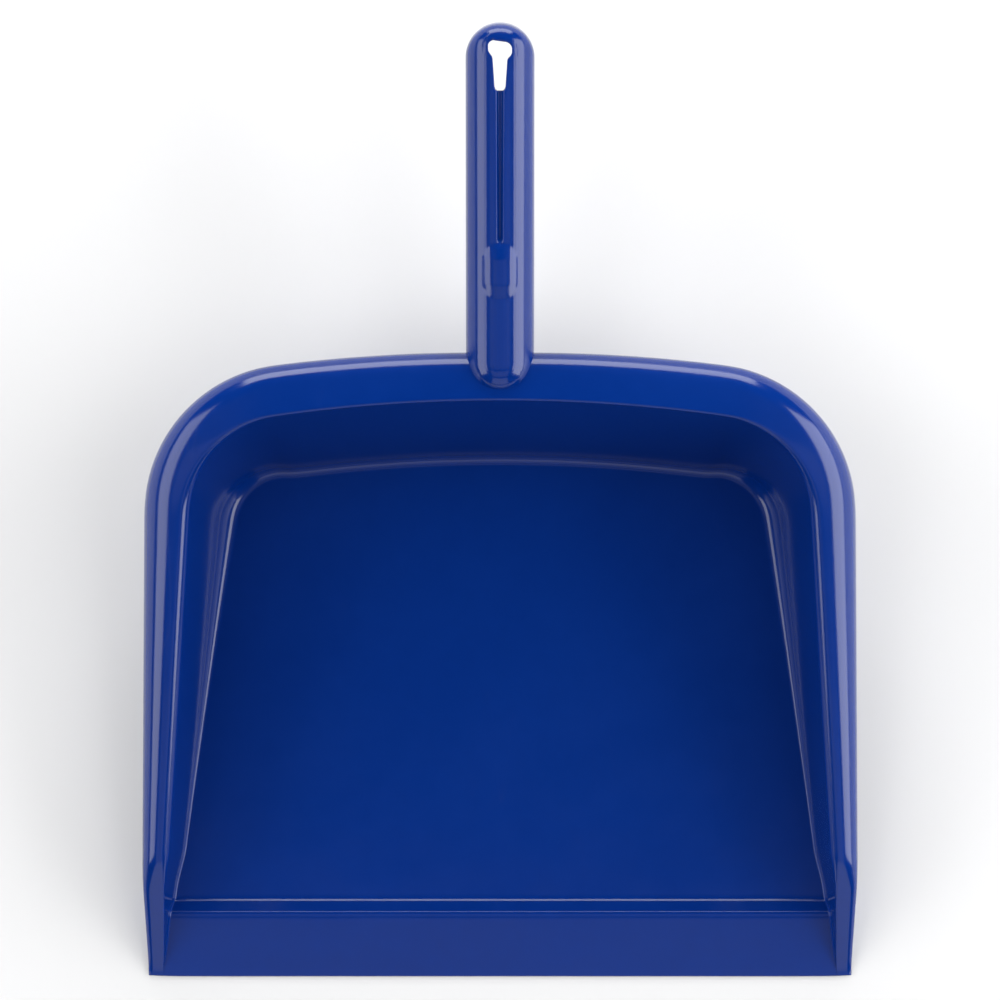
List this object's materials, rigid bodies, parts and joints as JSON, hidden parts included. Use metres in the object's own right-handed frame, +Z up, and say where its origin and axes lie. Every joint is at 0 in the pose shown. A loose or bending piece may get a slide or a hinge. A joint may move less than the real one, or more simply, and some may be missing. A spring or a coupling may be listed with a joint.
{
  "type": "dustpan",
  "caption": "Wide one-hand dustpan with leaning walls, a rolled rim, a wedge-shaped front lip and a hollow handle with a keyhole slot to hang it by.",
  "frame": {"origin": "middle of the part's bounding box, on the ground that the floor of the pan rests on", "axes": "+Z up from the ground, +Y from the front edge towards the handle, +X across the width to the right as seen from above"},
  "size_m": [0.312, 0.4098, 0.1172],
  "materials": {
    "blue_polypropylene": "moulded gloss, faint flow marks and light scuffs"
  },
  "bodies": {
    "root": {"pan_tray": "blue_polypropylene", "front_lip": "blue_polypropylene", "handle": "blue_polypropylene"}
  },
  "joints": []
}
